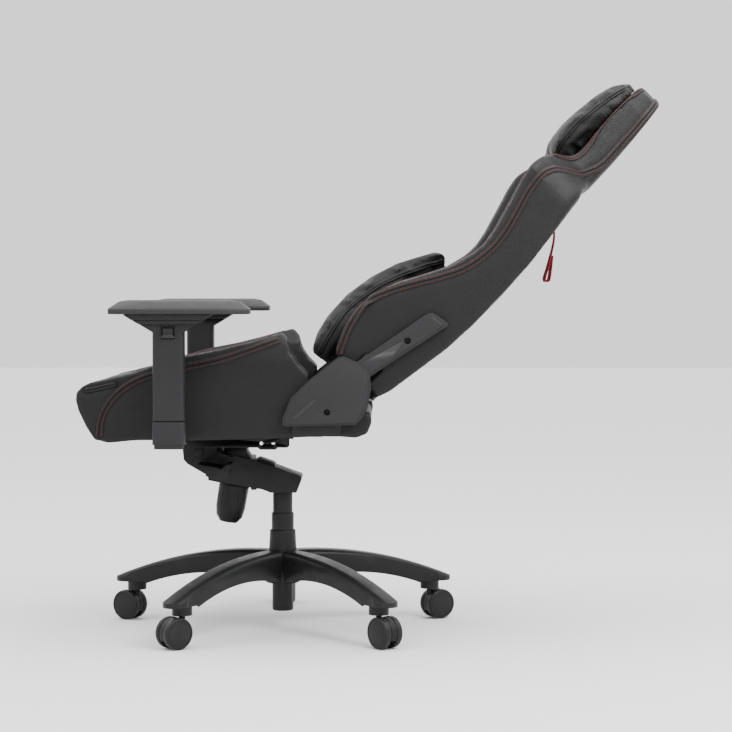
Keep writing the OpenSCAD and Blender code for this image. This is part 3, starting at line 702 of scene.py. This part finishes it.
def make_seat():
    nodes = ["seat_cushion", "seat_wing_left", "seat_wing_right"]
    cover = remeshed("seat_cover", nodes, COVER_VOXEL, 8, MATERIALS["seat_leather"], shrink=-0.001)

    def side_panel(p, n):
        outward = max(0.0, abs(n[0]) - 0.6) / 0.4
        return outward * bump_at(p[2], 0.455, 0.05) * bump_at(p[1], -0.15, 0.16) * (abs(p[0]) > 0.22)

    def channel(p, n):
        inside = max(0.0, 1 - (abs(p[0]) / CHANNEL_HALF) ** 8)
        wave = 0.5 + 0.5 * math.cos(2 * math.pi * (p[1] - CHANNEL_START) / CHANNEL_PITCH)
        return max(0.0, n[2]) * inside * (1 - wave ** 6) * (p[2] > 0.47)

    crown(cover, side_panel, SIDE_CROWN)
    crown(cover, channel, CHANNEL_DEPTH)
    tree = tree_of(cover)
    seams, crests, lines, nose = [], [], [], []
    for sign in (1, -1):
        side = FROM_SIDE[sign]
        for tracks, outline, x, direction in (
            (seams, WING_SEAM, WING_OUT, side), (crests, WING_CREST, CREST_X, DOWN),
            (lines, WING_REAR, REAR_X, TO_FRONT), (nose, NOSE_SIDE, WING_OUT, side),
        ):
            tracks.append(on_surface(tree, curve_points(side_points(outline, x, sign)), direction))
    across = [Vector((x * MM, NOSE_AHEAD, NOSE_Z * MM)) for x in range(-252, 253, 12)]
    nose.append(on_surface(tree, curve_points(across), TO_REAR))
    press_in(cover, nose, *NOSE_PULL)
    press_in(cover, seams, *OUTER_PULL)
    press_in(cover, crests + lines, *INNER_PULL)
    seam_set("seat_side_seam", seams, "seat", "seat_leather")
    seam_set("seat_crest_seam", crests, "seat", "seat_leather", SINGLE_SEAM, INNER_ROWS, INNER_LIFT)
    seam_set("seat_plain_seam", lines, "seat", "seat_leather", SINGLE_SEAM, ())
    seam_set("seat_nose_seam", nose, "seat", "seat_leather", SINGLE_SEAM, (), gap=2.0)
    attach(cover, "seat")
    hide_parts(*nodes)


# ---------- Backrest ----------


def on_back(x, behind, up):
    """A point in the row frame, from millimetres on the upright backrest."""
    c, s = math.cos(RECLINE), math.sin(RECLINE)
    y, z = behind * c + up * s, up * c - behind * s
    return Vector((x * MM, HINGE.y + y * MM, HINGE.z + z * MM))


def back_local(point):
    """(x, behind, up) in metres of a point in the row frame."""
    c, s = math.cos(RECLINE), math.sin(RECLINE)
    y, z = point[1] - HINGE.y, point[2] - HINGE.z
    return point[0], y * c - z * s, y * s + z * c


# Seams of the left half of the back, (x, behind, up) in millimetres
BACK_SIDE_SEAM = [
    (268, -38, 50), (268, -50, 75), (268, -66, 116), (268, -73, 164), (268, -58, 209), (268, -34, 253),
    (268, -7, 299), (268, 12, 340), (268, 21, 392), (268, 18, 435), (268, 7, 478), (268, -6, 522),
    (266, -11, 560), (262, -7, 580), (248, 4, 596), (225, 22, 614), (195, 43, 632), (176, 56, 652),
    (168, 59, 680), (162, 56, 737), (154, 52, 790), (134, 50, 820), (100, 49, 836),
]
BACK_CREST_SEAM = [
    (232, -55, 81), (232, -72, 132), (232, -72, 185), (232, -54, 232), (232, -26, 282), (233, -3, 326),
    (235, 7, 372), (236, 7, 410), (236, -8, 460), (236, -22, 510), (234, -31, 556), (226, -28, 590),
    (210, -14, 614), (190, 4, 634), (170, 17, 655), (158, 17, 690), (152, 12, 723), (149, 11, 756),
    (144, 8, 795), (128, 10, 822), (104, 14, 836),
]
PAD_SEAM = [
    (172, -28, 60), (172, -30, 200), (172, -18, 262), (172, 2, 325), (172, 16, 380), (172, 22, 430),
    (172, 18, 500), (172, 10, 570), (165, 7, 610),
]
BACK_CROWN = 0.007
# The shoulders flow into the head part without an edge: the zone's limits in local metres, the
# distance over which it fades, and how many rounds of smoothing it takes
SHOULDER_UP = ((0.50, 0.04), (0.74, 0.06))
SHOULDER_BEHIND = (-0.012, 0.03)
SHOULDER_ROUNDS = 45


def back_track(tree, outline, sign):
    """A seam of one half of the back, on the cover."""
    return on_surface(tree, curve_points([on_back(sign * x, b, u) for x, b, u in outline]))


def make_back():
    nodes = ["back_shell", "back_bolster_left", "back_bolster_right", "back_pad", "back_head"]
    cover = remeshed("back_cover", nodes, COVER_VOXEL, 9, MATERIALS["back_leather"], shrink=-0.0015)

    def swell(p, n):
        x, behind, up = back_local(p)
        side = max(0.0, abs(n[0]) - 0.6) / 0.4 * bump_at(up, 0.30, 0.18) * (abs(x) > 0.24)
        rear_n = n[1] * math.cos(RECLINE) - n[2] * math.sin(RECLINE)
        rear = max(0.0, rear_n) * max(0.0, 1 - (x / 0.26) ** 2) * (behind > 0.04)
        return 0.5 * side + rear

    crown(cover, swell, BACK_CROWN)
    local = np.array([back_local(p) for p in points_of(cover.data)])
    (low, low_fade), (high, high_fade) = SHOULDER_UP
    front, front_fade = SHOULDER_BEHIND
    share = np.clip((local[:, 2] - low) / low_fade, 0, 1) * np.clip((high - local[:, 2]) / high_fade, 0, 1)
    share *= np.clip((local[:, 1] - front) / front_fade, 0, 1)
    relax(cover.data, SHOULDER_ROUNDS, share[:, None], swell=0.0)
    tree = tree_of(cover)
    outer, crest, pad = [], [], []
    for sign in (1, -1):
        outer.append(back_track(tree, BACK_SIDE_SEAM, sign))
        crest.append(on_surface(tree, eased(back_track(tree, BACK_CREST_SEAM, sign))))
        pad.append(back_track(tree, PAD_SEAM, sign))
    press_in(cover, outer, *OUTER_PULL)
    press_in(cover, crest + pad, *INNER_PULL)
    seam_set("back_side_seam", outer, "back", "back_leather")
    seam_set("back_crest_seam", crest, "back", "back_leather", SINGLE_SEAM, INNER_ROWS, INNER_LIFT)
    seam_set("back_pad_seam", pad, "back", "back_leather", SINGLE_SEAM, ())
    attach(cover, "back")
    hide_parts(*nodes)
    return cover


# ---------- Pillows ----------

HEAD_PILLOW_SEAM = [(-14, 618), (-25, 640), (-30, 695), (-24, 756), (-12, 808), (0, 826)]
LUMBAR_SEAM = [(-67, 22), (-78, 60), (-91, 124), (-82, 195), (-65, 245), (-39, 299), (-18, 330)]
PILLOW_VOXEL = 0.005
PILLOW_SHRINK = 0.002
PILLOW_PULL = (0.003, 0.010)
# A pillow's rear side moves up to the back where the gap is no wider than the reach
REST_CLEARANCE = 0.0015
REST_REACH = 0.012
REST_FACING = (0.15, 0.5)


def rest_on(piece, support, direction):
    """Moves the side that faces the support up to it, as a soft piece that leans on it does."""
    tree = tree_of(support)
    points, normals = points_of(piece.data), normals_of(piece.data)
    least, full = REST_FACING
    for i, n in enumerate(normals):
        facing = float(np.dot(n, direction))
        if facing <= least:
            continue
        hit, _, _, distance = tree.ray_cast(Vector(points[i]), Vector(direction), REST_REACH)
        if hit is not None and distance > REST_CLEARANCE:
            points[i] += np.array(direction) * (distance - REST_CLEARANCE) * min(1.0, facing / full)
    set_points(piece.data, points)


def make_pillow(node, half, outline, support):
    """A stuffed pillow on the back; its side seams lie half millimetres from the middle."""
    name = node + "_cover"
    pillow = remeshed(name, [node], PILLOW_VOXEL, 4, MATERIALS["pillow_leather"], PILLOW_SHRINK)
    inflated(pillow)
    rest_on(pillow, support, (0, math.cos(RECLINE), -math.sin(RECLINE)))
    relax(pillow.data, 3)
    tree = tree_of(pillow)
    tracks = []
    for sign in (1, -1):
        path = [on_back(sign * half, b, u) for b, u in outline]
        tracks.append(on_surface(tree, curve_points(path), FROM_SIDE[sign]))
    press_in(pillow, tracks, *PILLOW_PULL)
    seam_set(name + "_seam", tracks, node, "pillow_leather", SINGLE_SEAM, ())
    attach(pillow, node)
    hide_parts(node)


# ---------- Pull strap ----------


# Middle line of the folded webbing, (Y, Z) in millimetres, from the stitched top to the loose end
STRAP_LINE = [(537.2, 801), (539.2, 790), (537.6, 763), (526, 715), (520.5, 697), (520, 690), (523, 687.3),
              (527, 688.5), (529.5, 694), (532.5, 715), (535, 735), (535.4, 742)]
STRAP_HALF = 0.011
STRAP_THICK = 0.0018
STRAP_TWIST = math.radians(12)
STRAP_DROP = 0.11
# The webbing's section, (across, out), as shares of the half width and half thickness
STRAP_SECTION = [
    (-1, -0.6), (-0.96, -1), (-0.5, -1), (0, -1), (0.5, -1), (0.96, -1), (1, -0.6),
    (1, 0.6), (0.96, 1), (0.5, 1), (0, 1), (-0.5, 1), (-0.96, 1), (-1, 0.6),
]


def make_strap():
    """Webbing folded up at its lower end; it twists a little as it hangs."""
    track = curve_points([Vector((0, y * MM, z * MM)) for y, z in STRAP_LINE], 0.003)
    vertices, faces = [], []
    top, sides = track[0].z, len(STRAP_SECTION)
    for i, p in enumerate(track):
        ahead = (track[min(i + 1, len(track) - 1)] - track[max(i - 1, 0)]).normalized()
        turn = STRAP_TWIST * min(1.0, (top - p.z) / STRAP_DROP)
        across = Vector((math.cos(turn), math.sin(turn), 0))
        out = across.cross(ahead).normalized()
        for a, h in STRAP_SECTION:
            vertices.append(p + across * a * STRAP_HALF + out * h * STRAP_THICK / 2)
        if i:
            low = (i - 1) * sides
            for k in range(sides):
                step = (k + 1) % sides
                faces.append((low + k, low + step, low + sides + step, low + sides + k))
    last = (len(track) - 1) * sides
    faces += [tuple(reversed(range(sides))), tuple(range(last, last + sides))]
    finish = MATERIALS["strap_webbing"]
    strap = new_object("strap_webbing", vertices, faces, finish, "strap", "strap_webbing")
    shade_smooth(strap, 40)
    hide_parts("pull_strap")


make_camera()
make_studio()
make_floor()
dress_cad_nodes()
make_seat()
back_cover = make_back()
make_pillow("head_pillow", 140, HEAD_PILLOW_SEAM, back_cover)
make_pillow("lumbar_pillow", 165, LUMBAR_SEAM, back_cover)
make_strap()
